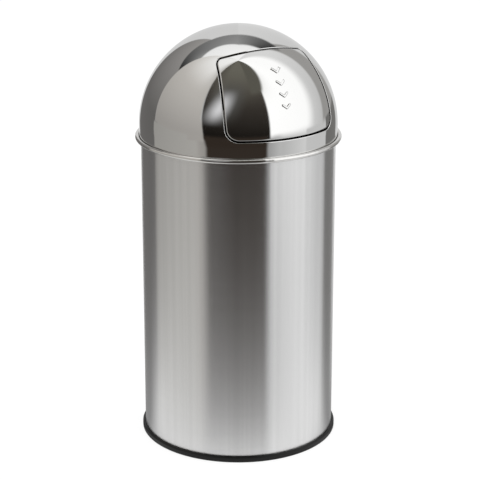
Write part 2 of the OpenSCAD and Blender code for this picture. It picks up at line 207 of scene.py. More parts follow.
# Each card hides what comes before it
seen = add(sky, "MapRange", Value=rise, From_Min=LEVEL, From_Max=80.0, To_Min=0.78, To_Max=1.25)
for about in (
        ("ceiling beam behind, left", "#FFFFFF", (0.26, -0.38), (0.39, 0.24),
         (-190, -190), (-112, -120), (66.4, 54), NADIR, 1.5),
        ("backdrop under the beam", "#FFFFFF", (0.74, 0.74), (0.88, 0.88),
         (-190, -190), (-159, -158), (44.4, 43), NADIR, 1.2),
        ("flag behind, left", "#FFFBF8", (0.17, 0.16), (0.52, 0.46),
         (-159, -158), (-111.5, -122), (43, 33), NADIR, 1),
        ("wall on the left", "#FFFAF4", (0.42, 0.49), (0.78, 0.78),
         (-111.5, -122), (-43.5, -50), (90, 90), NADIR, 0.8),
        ("the wall's lit upper part", "#FFFFFE", (1.2, 1.2), (1.2, 1.2),
         (-111.5, -122), (-43.5, -50), ALL_UP, 60, 22),
        ("the panel's fading side", "#FFFFFF", (0.95, 0.68), (1.1, 0.95),
         (80, 80), (116, 142), ALL_UP, NADIR, 1.5),
        ("big panel on the right", "#FFFFFF", (1.45, 1.38), (1.5, 1.4),
         (30, 30), (92, 116), ALL_UP, NADIR, 9),
        below("flag below the horizon, left", "#FFFBF8", (0.17, 0.16), -159, -106, 1),
        below("wall below the horizon", "#FFFCF6", (0.41, 0.53), -113, -38, 0.8),
        below("its shaded end", "#FFFAF4", (0.48, 0.34), -48, -30, 3),
        below("the wall's lit foot", "#FEFEF9", (0.62, 0.7), -118, -52, 4, top=-22),
        below("the panels below the horizon", "#FFFFFF", (0.55, 0.93), 40, 94, 5),
        below("their shaded start", "#FFFFFF", (0.34, 0.67), 28, 50, 4),
        below("their fading side", "#FFFFFF", (0.74, 0.71), 84, 130, 1.5),
        ("dark room behind the camera", "#FFEEDD", (0.012, 0.018), (0.06, 0.085),
         (-42.2, -50.3), (36.5, 38), (90, 90), -7, 1.5),
        ("the wall's foot, leaning in", "#FFFAF4", (0.473, 0.49), (0.78, 0.78),
         (-60, -60), (-40.5, -54.5), (14, 14), -9, 1.2),
        ("the room below the horizon", "#FFE0C8", (0.0395, 0.0395), (0.0395, 0.0395),
         (-40.6, -55), (33.2, 33.2), (-2.5, -2.5), NADIR, 2.5),
        ("the room's ceiling", "#FFFAE6", (0.18, 0.18), (0.18, 0.18),
         (-43, -49), (36, 40), ALL_UP, 54, 28),
        ("the ceiling's right end", "#FFFAE6", (0.13, 0.13), (0.13, 0.13),
         (20, 20), (9.5, 47.5), ALL_UP, 46, 4),
        ("the lamp's haze", "#FFFDF6", (0.16, 0.1), (0.2, 0.12),
         (-40, -32), (-16, 12), (54, 54), 20, 14),
        ("lamp in the dark room", "#FCFCFF", (1.2, 1.2), (0.68, 0.68),
         (-46, -19), (-30, 0), (44, 44), 18, 11),
        ("flag behind, right", "#FFFDFA", (0.40, 0.42), (0.5, 0.42),
         (116, 142), (151, 151), (90, 46), -5, 2.5),
        below("that flag below the horizon", "#FFFDFA", (0.20, 0.22), 120.3, 152, 1),
        ("backdrop behind, right", "#FFFFFF", (0.72, 0.82), (0.88, 0.93),
         (152, 152), (190, 190), (46, 46), NADIR, 1.5),
        ("ceiling beam behind, right", "#FFFFFF", (0.0, 0.23), (0.03, 0.44),
         (140, 140), (190, 190), (62, 65.7), 44, 2)):
    seen = card(seen, *about)
path = add(sky, "LightPath")
mirrored = add(sky, "Math", LARGER, i0=path.outputs["Is Glossy Ray"], i1=path.outputs["Is Transmission Ray"])
even = add(sky, "Background", Color=(1, 1, 1, 1), Strength=0.75)
studio = add(sky, "Background", Color=seen, Strength=1.0)
white = add(sky, "Background", Color=(1, 1, 1, 1), Strength=1.0)
lit = add(sky, "MixShader", i0=mirrored, i1=even, i2=studio)
shown = add(sky, "MixShader", i0=path.outputs["Is Camera Ray"], i1=lit, i2=white)
add(sky, "OutputWorld", Surface=shown)


# ---- Making pieces

SHARP = 35  # degrees: an edge sharper than this stays crisp


def piece(bm, name, body, node, finish):
    """Turns a mesh into a piece of the object: smooth but for its sharp edges, and riding on a body in place
    of its CAD node. A piece with no body rides on none."""
    bmesh.ops.recalc_face_normals(bm, faces=bm.faces)
    mesh = bpy.data.meshes.new(name)
    bm.to_mesh(mesh)
    bm.free()
    mesh.shade_smooth()
    mesh.set_sharp_from_angle(angle=math.radians(SHARP))
    mesh.materials.append(finish)
    made = put_in_scene(name, mesh)
    if body:
        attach(made, body)
    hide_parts(node)
    return made


def rounded(corners, steps=5):
    """The outline of a section with its corners rounded: (radius, height, corner radius), in mm."""
    out = []
    for i, (x, z, r) in enumerate(corners):
        p = np.array([x, z])
        if r == 0:
            out.append(tuple(p))
            continue
        a, b = (np.array(corners[j % len(corners)][:2]) - p for j in (i - 1, i + 1))
        a, b = a / np.linalg.norm(a), b / np.linalg.norm(b)
        half = math.acos(max(-1, min(1, a @ b))) / 2
        mid = (a + b) / np.linalg.norm(a + b)
        centre = p + mid * r / math.sin(half)
        start, end = p + a * r / math.tan(half) - centre, p + b * r / math.tan(half) - centre
        for k in range(steps + 1):
            v = start * (1 - k / steps) + end * k / steps
            out.append(tuple(centre + v / np.linalg.norm(v) * r))
    return out


def around(centre, r, start, end, steps):
    """Points of an arc in a section, in mm and degrees."""
    angles = np.radians(np.linspace(start, end, steps + 1))
    return [(centre[0] + r * math.cos(a), centre[1] + r * math.sin(a)) for a in angles]


def spin(section, slices=192, bm=None, place=None, angles=None):
    """Spins a closed section round the Z axis, or round where place puts it. A point on the axis is one
    vertex."""
    bm = bmesh.new() if bm is None else bm
    angles = np.linspace(0, 2 * math.pi, slices, endpoint=False) if angles is None else angles
    place = place or Matrix.Identity(4)
    rings = []
    for r, z in section:
        turns = angles if r > 1e-4 else angles[:1]
        spots = [Vector((r * math.cos(a) * MM, r * math.sin(a) * MM, z * MM)) for a in turns]
        rings.append([bm.verts.new(place @ spot) for spot in spots])
    for a, b in zip(rings, rings[1:] + rings[:1]):
        for i in range(len(angles) if max(len(a), len(b)) > 1 else 0):
            j = (i + 1) % len(angles)
            bm.faces.new(dict.fromkeys((a[i % len(a)], a[j % len(a)], b[j % len(b)], b[i % len(b)])))
    return bm


def along_x(x, y=0.0, z=0.0):
    """Where a spun form goes whose axis lies along X, from x on, in mm."""
    return Matrix.Translation(Vector((x, y, z)) * MM) @ Matrix.Rotation(math.pi / 2, 4, "Y")


ASKEW = [0.3, 0.5, 0.81]  # a direction that no wire here starts in


def tube(points, radii, sides=12):
    """A round wire along points, in mm, with a radius for each. Its ends are closed."""
    bm = bmesh.new()
    points = np.array(points, float)
    ahead = np.gradient(points, axis=0)
    ahead /= np.linalg.norm(ahead, axis=1)[:, None]
    up = np.cross(ahead[0], ASKEW)
    rings = []
    for p, d, r in zip(points, ahead, radii):
        up = up - (up @ d) * d
        up /= np.linalg.norm(up)
        side = np.cross(d, up)
        rings.append([bm.verts.new(Vector(p + r * (up * math.cos(a) + side * math.sin(a))) * MM)
                      for a in np.linspace(0, 2 * math.pi, sides, endpoint=False)])
    for a, b in zip(rings, rings[1:]):
        for i in range(sides):
            bm.faces.new((a[i], a[(i + 1) % sides], b[(i + 1) % sides], b[i]))
    bm.faces.new(rings[0])
    bm.faces.new(rings[-1])
    return bm


# ---- Finishes

NOISE = {"From_Min": 0.3, "From_Max": 0.7}  # where most of a noise texture's values lie


def new_finish(name):
    """An empty material, its node tree and its shader."""
    made = bpy.data.materials.new(name)
    made.use_nodes = True
    return made, made.node_tree, made.node_tree.nodes["Principled BSDF"]


def millimetres(tree, x, y=None, z=None):
    """The place on the object, divided by a pattern's size in mm along X, Y and Z, or by one size for all
    three."""
    spot = add(tree, "TexCoord")
    sizes = (x, y or x, z or x)
    return add(tree, "Mapping", Vector=spot.outputs["Object"], Scale=[1 / (size * MM) for size in sizes])


# 304 stainless sheet, spun to a dome and buffed to a mirror: crisp reflections that wander a little where
# the sheet was drawn, and a faint haze from the buffing wheel.
mirror_stainless, tree, shader = new_finish("buffed_304_stainless")
haze = add(tree, "TexNoise", Vector=millimetres(tree, 22), Scale=1.0, Detail=3.0)
dull = add(tree, "MapRange", Value=haze, **NOISE, To_Min=0.035, To_Max=0.06)
wander = add(tree, "TexNoise", Vector=millimetres(tree, 38), Scale=1.0, Detail=1.0)
drawn = add(tree, "Bump", Strength=0.25, Distance=0.1 * MM, Height=wander)
feed(tree, shader, Base_Color=hex_colour("#D9D9D8"), Metallic=1, Roughness=dull, Normal=drawn)

# The same sheet's unpolished inner side, as rolled: grey and soft, with no image in it.
mill_inside, tree, shader = new_finish("mill_side_of_304_sheet")
cloud = add(tree, "TexNoise", Vector=millimetres(tree, 30), Scale=1.0, Detail=4.0)
grey = add(tree, "Mix", COLOURS, Factor=cloud, i6=hex_colour("#9D9B97"), i7=hex_colour("#B7B5B0"))
grain = add(tree, "TexNoise", Vector=millimetres(tree, 60, 60, 1.2), Scale=1.0, Detail=2.0)
dull = add(tree, "MapRange", Value=grain, **NOISE, To_Min=0.3, To_Max=0.4)
feed(tree, shader, Base_Color=grey.outputs[2], Metallic=1, Roughness=dull)

# The same sheet's cut edge, in the flap's gap and at the tip of the rolled rim, where no buffing wheel
# reaches: dull, and dark grey as painted shade that darkens the gap and the crease under the rim.
cut_edge_and_painted_gap_shade, tree, shader = new_finish("cut_edge_of_304_sheet_painted_dark")
cloud = add(tree, "TexNoise", Vector=millimetres(tree, 5), Scale=1.0, Detail=4.0)
grey = add(tree, "Mix", COLOURS, Factor=cloud, i6=hex_colour("#3A3835"), i7=hex_colour("#5A5855"))
feed(tree, shader, Base_Color=grey.outputs[2], Metallic=1, Roughness=0.45)

# The same sheet's inner side where it is rolled outwards to the rim: it wavers a little from the rolling
# tool and is buffed only in passing, so what it mirrors is blurred.
rolled_rim, tree, shader = new_finish("half_polished_304_stainless")
rub = add(tree, "TexNoise", Vector=millimetres(tree, 14, 14, 1.5), Scale=1.0, Detail=3.0)
dull = add(tree, "MapRange", Value=rub, **NOISE, To_Min=0.14, To_Max=0.2)
chatter = add(tree, "TexNoise", Vector=millimetres(tree, 20), Scale=1.0, Detail=1.0)
wavering = add(tree, "Bump", Strength=0.4, Distance=2 * MM, Height=chatter)
feed(tree, shader, Base_Color=hex_colour("#DAD9D7"), Metallic=1, Roughness=dull, Normal=wavering)

# 430 stainless sheet brushed round the body with a fine belt: what it mirrors keeps its upright edges and is
# drawn out up and down. The belt's lines are 0.2 mm apart in the real sheet and 0.7 mm here, so that some
# show. The rolls that bent the sheet rubbed it in faint upright streaks, some a little lighter than the
# rest. The weld at the back left a straw-coloured line.
brushed_stainless, tree, shader = new_finish("belt_brushed_430_stainless")
lines = add(tree, "TexNoise", Vector=millimetres(tree, 90, 90, 0.7), Scale=1.0, Detail=3.0)
sheen = add(tree, "MapRange", Value=lines, **NOISE, To_Min=0.20, To_Max=0.24)
scored = add(tree, "Bump", Strength=0.02, Distance=0.03 * MM, Height=lines)
round_it = add(tree, "Tangent", {"direction_type": "RADIAL", "axis": "Z"})
streaks = add(tree, "TexNoise", Vector=millimetres(tree, 10, 10, 2000), Scale=1.0, Detail=3.0)
tone = add(tree, "Mix", COLOURS, Factor=streaks, i6=hex_colour("#D3D3D3"), i7=hex_colour("#E2E2E2"))
spot = add(tree, "TexCoord")
place = add(tree, "SeparateXYZ", Vector=spot.outputs["Object"])
off_weld = add(tree, "Math", {"operation": "ABSOLUTE"}, i0=place.outputs["X"])
near_weld = add(tree, "MapRange", Value=off_weld, From_Min=0.6 * MM, From_Max=1.6 * MM, To_Min=0.7,
                To_Max=0.0)
at_back = add(tree, "Math", {"operation": "GREATER_THAN"}, i0=place.outputs["Y"], i1=0.0)
weld = add(tree, "Math", TIMES, i0=near_weld, i1=at_back)
steel = add(tree, "Mix", COLOURS, Factor=weld, i6=tone.outputs[2], i7=hex_colour("#A89F90"))
feed(tree, shader, Base_Color=steel.outputs[2], Metallic=1, Roughness=sheen, Normal=scored, Anisotropic=1.0,
     Anisotropic_Rotation=0.25, Tangent=round_it)

# Moulded polypropylene, black through and through: a satin skin with a fine spark-eroded grain, 0.4 mm
# across.
black_polypropylene, tree, shader = new_finish("moulded_black_polypropylene")
scuff = add(tree, "TexNoise", Vector=millimetres(tree, 12), Scale=1.0, Detail=4.0)
tone = add(tree, "Mix", COLOURS, Factor=scuff, i6=hex_colour("#0E0E0E"), i7=hex_colour("#181817"))
dull = add(tree, "MapRange", Value=scuff, **NOISE, To_Min=0.38, To_Max=0.5)
grain = add(tree, "TexNoise", Vector=millimetres(tree, 0.4), Scale=1.0, Detail=1.0)
pitted = add(tree, "Bump", Strength=0.2, Distance=0.05 * MM, Height=grain)
feed(tree, shader, Base_Color=tone.outputs[2], Roughness=dull, Specular_IOR_Level=0.24, Normal=pitted)

# Cold-rolled stainless, pressed and left as the mill sent it: grey, soft and slightly cloudy.
pressed_stainless, tree, shader = new_finish("pressed_2b_stainless")
cloud = add(tree, "TexNoise", Vector=millimetres(tree, 6), Scale=1.0, Detail=5.0)
tone = add(tree, "Mix", COLOURS, Factor=cloud, i6=hex_colour("#A3A19D"), i7=hex_colour("#C2C0BB"))
dull = add(tree, "MapRange", Value=cloud, **NOISE, To_Min=0.28, To_Max=0.42)
dents = add(tree, "Bump", Strength=0.2, Distance=0.1 * MM, Height=cloud)
feed(tree, shader, Base_Color=tone.outputs[2], Metallic=1, Roughness=dull, Normal=dents)

# Bright steel bar, centreless ground: fine rings across its length, 0.3 mm apart.
ground_bar, tree, shader = new_finish("ground_bright_steel")
rings = add(tree, "TexNoise", Vector=millimetres(tree, 0.3, 12, 12), Scale=1.0, Detail=2.0)
dull = add(tree, "MapRange", Value=rings, **NOISE, To_Min=0.14, To_Max=0.26)
feed(tree, shader, Base_Color=hex_colour("#C6C5C2"), Metallic=1, Roughness=dull)

# Spring wire, drawn and oil tempered: dark, with a dull shine and a mottled skin.
spring_wire, tree, shader = new_finish("oil_tempered_spring_wire")
scale = add(tree, "TexNoise", Vector=millimetres(tree, 0.8), Scale=1.0, Detail=3.0)
tone = add(tree, "Mix", COLOURS, Factor=scale, i6=hex_colour("#5A5857"), i7=hex_colour("#7C7A78"))
feed(tree, shader, Base_Color=tone.outputs[2], Metallic=1, Roughness=0.32)

# Hot-dip galvanised sheet: zinc crystals about 11 mm across, each with its own tone and shine.
galvanised, tree, shader = new_finish("hot_dip_galvanised_sheet")
bend = add(tree, "TexNoise", Vector=millimetres(tree, 9), Scale=1.0, Detail=2.0)
swirl = add(tree, "VectorMath", SCALED, Vector=bend.outputs["Color"], Scale=0.7)
pushed = add(tree, "VectorMath", PLUS, i0=millimetres(tree, 11), i1=swirl)
spangle = add(tree, "TexVoronoi", Vector=pushed, Scale=1.0, Randomness=1.0)
crystal = add(tree, "SeparateColor", Color=spangle.outputs["Color"])
tone = add(tree, "Mix", COLOURS, Factor=crystal, i6=hex_colour("#8F959A"), i7=hex_colour("#C3C8CB"))
dull = add(tree, "MapRange", Value=crystal.outputs[1], To_Min=0.3, To_Max=0.52)
feed(tree, shader, Base_Color=tone.outputs[2], Metallic=1, Roughness=dull)

# Nitrile rubber, moulded and dusted with talc: no shine to speak of.
buffer_rubber, tree, shader = new_finish("moulded_nitrile_rubber")
talc = add(tree, "TexNoise", Vector=millimetres(tree, 1.5), Scale=1.0, Detail=4.0)
tone = add(tree, "Mix", COLOURS, Factor=talc, i6=hex_colour("#191919"), i7=hex_colour("#2B2A29"))
skin = add(tree, "Bump", Strength=0.3, Distance=0.1 * MM, Height=talc)
feed(tree, shader, Base_Color=tone.outputs[2], Roughness=0.82, Normal=skin)


# ---- Floor

# White paper. The camera sees it white with the bin's faint shadow. The metal sees it as a glowing sheet,
# white near the bin and fading out further off, so that the studio's cards show below the horizon too. In the
# metal it carries painted light and shade: a little dimmer straight in front than at the sides, and a painted
# shadow of the bin, dark behind two slanted lines.
FADE_FROM, FADE_OVER, SIDE_FROM = BODY_R * MM, 0.38, 0.2
SLANT, SLANT_OFF, FRONT_OFF = math.radians(37), 0.152, 0.08
floor_paper, tree, shader = new_finish("white_studio_floor")
tree.nodes.clear()
ground = add(tree, "NewGeometry")
flat = add(tree, "VectorMath", TIMES, i0=ground.outputs["Position"], i1=(1, 1, 0))
far = add(tree, "VectorMath", {"operation": "LENGTH"}, i0=flat).outputs["Value"]
out = add(tree, "Math", MINUS, i0=far, i1=FADE_FROM)
fall = add(tree, "Math", OVER, i0=out, i1=-FADE_OVER)
near = add(tree, "Math", {"operation": "EXPONENT", "use_clamp": True}, i0=fall)
away = (math.sin(STUDIO_TURN), math.cos(STUDIO_TURN), 0)
to_back = add(tree, "VectorMath", DOT, i0=flat, i1=away).outputs["Value"]
to_side = add(tree, "VectorMath", DOT, i0=flat, i1=(away[1], -away[0], 0)).outputs["Value"]
back_share = add(tree, "Math", OVER, i0=to_back, i1=far)
# Painted light and shade in the metal: the floor's glow is dimmer straight in front than at the sides
painted_side_light = add(tree, "MapRange", Value=back_share, From_Min=-1.0, From_Max=-0.2, To_Min=0.87, To_Max=1.2)
painted_floor_light = add(tree, "MapRange", Value=out, From_Min=0.0, From_Max=SIDE_FROM, To_Min=1.0, To_Max=painted_side_light)
off_middle = add(tree, "Math", {"operation": "ABSOLUTE"}, i0=to_side)
# Painted shadow of the bin: the floor's glow is dark behind two slanted lines
slanted = add(tree, "Math", TIMES_PLUS, i0=off_middle, i1=math.sin(SLANT), i2=-SLANT_OFF)
past_line = add(tree, "Math", TIMES_PLUS, i0=to_back, i1=-math.cos(SLANT), i2=slanted)
in_front = add(tree, "Math", TIMES_PLUS, i0=to_back, i1=-1.0, i2=-FRONT_OFF)
lit_by = add(tree, "Math", LARGER, i0=past_line, i1=in_front)
lit_share = add(tree, "Math", OVER, i0=lit_by, i1=far)
shaded = add(tree, "MapRange", SMOOTH, Value=lit_share, From_Min=-0.17, From_Max=0.2, To_Min=0.33, To_Max=1.0)
strength = add(tree, "Math", TIMES, i0=painted_floor_light, i1=shaded)
paper_glow = add(tree, "Emission", Color=(1, 1, 1, 1), Strength=strength)
clear = add(tree, "BsdfTransparent")
in_metal = add(tree, "MixShader", i0=near, i1=clear, i2=paper_glow)
paper = add(tree, "BsdfDiffuse", Color=(0.8, 0.8, 0.8, 1))
shadow_side = add(tree, "BsdfDiffuse", Color=(0.3, 0.3, 0.3, 1))
base_white = add(tree, "Emission", Color=(1, 1, 1, 1), Strength=0.8)
to_camera = add(tree, "AddShader", i0=shadow_side, i1=base_white)
ray = add(tree, "LightPath")
plain = add(tree, "MixShader", i0=ray.outputs["Is Camera Ray"], i1=paper, i2=to_camera)
is_mirrored = add(tree, "Math", LARGER, i0=ray.outputs["Is Glossy Ray"],
                  i1=ray.outputs["Is Transmission Ray"])
whole = add(tree, "MixShader", i0=is_mirrored, i1=plain, i2=in_metal)
add(tree, "OutputMaterial", Surface=whole)

bm = bmesh.new()
bmesh.ops.create_circle(bm, cap_ends=True, radius=12, segments=96)
sheet = bpy.data.meshes.new("floor")
bm.to_mesh(sheet)
bm.free()
sheet.materials.append(floor_paper)
floor = put_in_scene("floor", sheet)


# ---- Body and base ring

# The body's sheet: rolled, seam welded at the back, its top edge folded inwards and its foot in the ring.
# The mesh is finer at the weld's bead.
HEM_BEND, HEM_EDGE, HEM_OPEN = 1.2, 0.35, 1.2
AT_WELD, NEAR_WELD = math.pi / 2, math.radians(1.0)
fine_turns = [AT_WELD + math.radians(a) for a in (-0.9, -0.6, -0.4, -0.2, 0, 0.2, 0.4, 0.6, 0.9)]
even_turns = [a for a in np.linspace(0, 2 * math.pi, 288, endpoint=False) if abs(a - AT_WELD) > NEAR_WELD]
hem_in, hem_foot = BODY_R - HEM_W, BODY_TOP - HEM_H
section = rounded([(BODY_R, RING_FLOOR, 0), (BODY_R, BODY_TOP, HEM_BEND), (hem_in, BODY_TOP, HEM_BEND),
                   (hem_in, hem_foot, HEM_EDGE), (hem_in + BODY_WALL, hem_foot, HEM_EDGE),
                   (hem_in + BODY_WALL, hem_foot + HEM_OPEN, 0), (BODY_IN, hem_foot + HEM_OPEN, 0),
                   (BODY_IN, RING_FLOOR, 0)], 6)
bm = spin(section, angles=np.array(sorted(even_turns + fine_turns)))
for v in bm.verts:
    off = abs(math.atan2(v.co.x, v.co.y)) * BODY_R
    is_outer = math.hypot(v.co.x, v.co.y) > (BODY_R - BODY_WALL / 2) * MM
    if off < BEAD_HALF and is_outer and v.co.z < (BODY_TOP - BEAD_END) * MM:
        grow = BEAD_H * (1 + math.cos(math.pi * off / BEAD_HALF)) / 2
        v.co.x *= 1 + grow / BODY_R
        v.co.y *= 1 + grow / BODY_R
piece(bm, "body", "bin", "body_shell", brushed_stainless)

# The bottom plate: pressed, with a flange turned down along the body's wall
PLATE_EDGE = 0.3
plate_r, plate_foot = BODY_IN - WELD, PLATE_TOP - PLATE_FLANGE
section = rounded([(0, PLATE_TOP, 0), (plate_r, PLATE_TOP, 2 * PLATE_T), (plate_r, plate_foot, PLATE_EDGE),
                   (plate_r - PLATE_T, plate_foot, PLATE_EDGE),
                   (plate_r - PLATE_T, PLATE_TOP - PLATE_T, PLATE_T), (0, PLATE_TOP - PLATE_T, 0)])
piece(spin(section), "bottom", "bin", "bottom_plate", pressed_stainless)

# The base ring: round outside, with a groove for the body's wall and an inner lip
LIP_H, LIP_W, LIP_ROUND = 5, 3, 0.6
WALL_GAP, TOP_ROUND, INNER_ROUND = 0.3, 0.5, 0.8
ring_in, ring_out = BODY_R - RING_REACH, BODY_R + RING_PROUD
groove = BODY_IN - WELD - PLATE_T - REST
section = rounded([(ring_in, 0, INNER_ROUND), (ring_out, 0, RING_ROUND), (ring_out, RING_H, RING_ROUND),
                   (BODY_R + WALL_GAP, RING_H, TOP_ROUND), (BODY_R + WALL_GAP, RING_FLOOR, 0),
                   (groove, RING_FLOOR, 0), (groove, RING_FLOOR + LIP_H, LIP_ROUND),
                   (groove - LIP_W, RING_FLOOR + LIP_H, LIP_ROUND), (groove - LIP_W, RING_FLOOR, LIP_ROUND),
                   (ring_in, RING_FLOOR, INNER_ROUND)], 6)
piece(spin(section, 240), "foot_ring", "bin", "base_ring", black_polypropylene)


# ---- Dome and flap, both from one drawn sheet with rolled-in edges

FINE_HALF = MARK_W / 2 + MARK_LINE  # half the width of the flap's middle, where the mesh is finer
BEND_TURNS = np.radians([0, 12, 24, 38, 54, 70, 90])
INNER_TURNS = np.radians([90, 60, 30, 0])
CUT_ROUND = 0.25
UPRIGHT = np.array([0, 0, 1.0])


def flap_edge(steps_side, steps_corner=8, steps_flat=28, steps_middle=10):
    """The line of the flap's gap seen from the front, anticlockwise from the middle of its lower side:
    (x, z) points in mm from the dome's middle, and the direction out of the flap at each."""
    low = np.array([FLAP_HALF - LOWER_CORNER_R, FLAP_LOW + LOWER_CORNER_R])
    side = np.array([FLAP_HALF - SIDE_R, low[1]])
    top = np.array([0, FLAP_HIGH - CROWN_R])
    r1, r2 = SIDE_R - UPPER_CORNER_R, CROWN_R - UPPER_CORNER_R
    gap = np.linalg.norm(top - side)
    reach = (r1 * r1 - r2 * r2 + gap * gap) / (2 * gap)
    lift = math.sqrt(r1 * r1 - reach * reach)
    line = (top - side) / gap
    crossings = [side + line * reach + s * lift * np.array([-line[1], line[0]]) for s in (1, -1)]
    up = max(crossings, key=lambda p: p[0])
    side_a = math.degrees(math.atan2(*(up - side)[::-1]))
    top_a = math.degrees(math.atan2(*(up - top)[::-1]))
    mid_a = 90 - math.degrees(math.asin(FINE_HALF / CROWN_R))
    along_foot = (*np.linspace(0, FINE_HALF, steps_middle + 1),
                  *np.linspace(FINE_HALF, low[0], steps_flat + 1)[1:])
    spots = [np.array([[x, FLAP_LOW] for x in along_foot])]
    outs = [np.tile([0.0, -1.0], (len(along_foot), 1))]
    for centre, r, a0, a1, n in ((low, LOWER_CORNER_R, -90, 0, 2 * steps_corner),
                                 (side, SIDE_R, 0, side_a, steps_side),
                                 (up, UPPER_CORNER_R, side_a, top_a, 2 * steps_corner),
                                 (top, CROWN_R, top_a, mid_a, steps_flat),
                                 (top, CROWN_R, mid_a, 90, steps_middle)):
        a = np.radians(np.linspace(a0, a1, n + 1)[1:])
        out = np.stack([np.cos(a), np.sin(a)], 1)
        spots.append(centre + r * out)
        outs.append(out)
    spots, outs = np.concatenate(spots), np.concatenate(outs)
    flip = np.array([-1, 1])
    return np.concatenate([spots, spots[-2:0:-1] * flip]), np.concatenate([outs, outs[-2:0:-1] * flip])


def on_dome(flat, r):
    """(x, z) points seen from the front, put on the front of a sphere of radius r."""
    y = -np.sqrt(np.maximum(r * r - (flat ** 2).sum(-1), 0))
    return np.stack([flat[..., 0], y, flat[..., 1]], -1)


def rolled_edge(flat, outs, into, bend, lip, r):
    """The edge of a sheet of outer radius r along the gap's line, rolled inwards. The gap is narrowest at
    the hinge. into is 1 where the sheet lies outside the gap and -1 where it lies inside. Gives the rows of
    points and their directions, from the outer face over the edge to the inner face."""
    line = on_dome(flat, r)
    up = line / r
    lifted = np.stack([outs[:, 0], np.zeros(len(outs)), outs[:, 1]], 1)
    away = np.cross(np.roll(line, -1, 0) - np.roll(line, 1, 0), up)
    away /= np.linalg.norm(away, axis=1)[:, None]
    away *= np.sign((away * lifted).sum(1))[:, None] * into
    gap = np.where(outs[:, 1:] > 0, TOP_GAP, LOW_GAP) * outs[:, 1:] ** 2 + SIDE_GAP * outs[:, :1] ** 2
    centre = line + away * (gap / 2 + bend) - up * bend
    rows = []
    for a in BEND_TURNS:
        way = up * math.cos(a) - away * math.sin(a)
        rows.append((centre + way * bend, way))
    inner = bend - SHEET
    if lip:
        rows.append((centre - away * bend - up * lip, -away))
    rows.append((centre - away * (bend + inner) / 2 - up * (lip + CUT_ROUND), -up))
    if lip:
        rows.append((centre - away * inner - up * lip, away))
    for a in INNER_TURNS:
        way = up * math.cos(a) - away * math.sin(a)
        rows.append((centre + way * inner, -way))
    return rows


def curved_sheet(name, verts, ways, faces, body, node, inner_faces, edge_faces, rim_faces=()):
    """A piece of the dome's sheet, with the exact direction of its surface at each vertex, for clean
    reflections. The faces of its inner side are left as rolled, those of its cut edge dull and painted dark
    as shade, and those of its rim half polished."""
    mesh = bpy.data.meshes.new(name)
    mesh.from_pydata((np.array(verts) * MM + [0, 0, DOME_Z * MM]).tolist(), [], faces)
    mesh.shade_smooth()
    for finish in (mirror_stainless, mill_inside, cut_edge_and_painted_gap_shade, rolled_rim):
        mesh.materials.append(finish)
    for kind, chosen in ((1, inner_faces), (2, edge_faces), (3, rim_faces)):
        for i in chosen:
            mesh.polygons[i].material_index = kind
    ways = np.array(ways)
    mesh.normals_split_custom_set_from_vertices((ways / np.linalg.norm(ways, axis=1)[:, None]).tolist())
    made = put_in_scene(name, mesh)
    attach(made, body)
    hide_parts(node)


# The dome. Each of its lines runs from the cut-out's edge along the sphere to the skirt, round the rolled
# rim and back inside. The lines spread out from a hub in the middle of the cut-out.
HUB_HEIGHT = 79.0
OUTER_STEPS, INNER_STEPS, RIM_STEPS, SEAM_HALF = 60, 40, 40, 2
flat, outs = flap_edge(56)
edge_rows = rolled_edge(flat, outs, 1, DOME_BEND, 0.0, DOME_R)
start = edge_rows[0][0] / np.linalg.norm(edge_rows[0][0], axis=1)[:, None]
hub = np.array([0, -math.sqrt(DOME_R ** 2 - HUB_HEIGHT ** 2), HUB_HEIGHT]) / DOME_R
heading = start - (start @ hub)[:, None] * hub
heading /= np.linalg.norm(heading, axis=1)[:, None]
first = np.arccos(np.clip(start @ hub, -1, 1))
last = np.arctan2(hub[2], -heading[:, 2])


def on_line(share):
    """Directions from the dome's middle, a share of the way from the cut-out's edge to the skirt."""
    a = (first + (last - first) * share)[:, None]
    return hub * np.cos(a) + heading * np.sin(a)


skirt_way = on_line(1.0)
skirt_way[:, 2] = 0
skirt_way /= np.linalg.norm(skirt_way, axis=1)[:, None]
roll = skirt_way * (DOME_IN + RIM_R) - UPRIGHT * SKIRT_H


def rim_way(turned):
    """Directions out of the rim's roll, turned by an angle in radians from straight outwards."""
    return skirt_way * math.cos(turned) + UPRIGHT * math.sin(turned)


rim_turns = np.radians(np.linspace(180, RIM_END, RIM_STEPS + 1))
rows = edge_rows[:len(BEND_TURNS)][::-1]
rows += [(on_line(s) * DOME_R, on_line(s)) for s in np.linspace(0, 1, OUTER_STEPS + 1)[1:]]
rows += [(skirt_way * DOME_R + UPRIGHT * z, skirt_way) for z in np.linspace(0, -SKIRT_H, 5)[1:-1]]
rim_from = len(rows)
rows += [(roll + rim_way(a) * (RIM_R - SHEET), -rim_way(a)) for a in rim_turns]
end = math.radians(RIM_END)
on = -skirt_way * math.sin(end) + UPRIGHT * math.cos(end)
tip_row = len(rows)
rows.append((roll + rim_way(end) * (RIM_R - SHEET / 2) + on * SHEET / 2, on))
rows += [(roll + rim_way(a) * RIM_R, rim_way(a)) for a in rim_turns[::-1]]
inside_from = len(rows)
rows += [(skirt_way * DOME_IN + UPRIGHT * z, -skirt_way) for z in np.linspace(-SKIRT_H, 0, 4)[1:]]
rows += [(on_line(s) * DOME_IN, -on_line(s)) for s in np.linspace(1, 0, INNER_STEPS + 1)[1:-1]]
inside_to = len(rows)
rows += edge_rows[len(BEND_TURNS):][::-1]
count, row_count = len(flat), len(rows)
verts = np.concatenate([p for p, w in rows])
ways = np.concatenate([w for p, w in rows])
faces, inner, cut_faces_painted_dark, rim = [], [], [], []
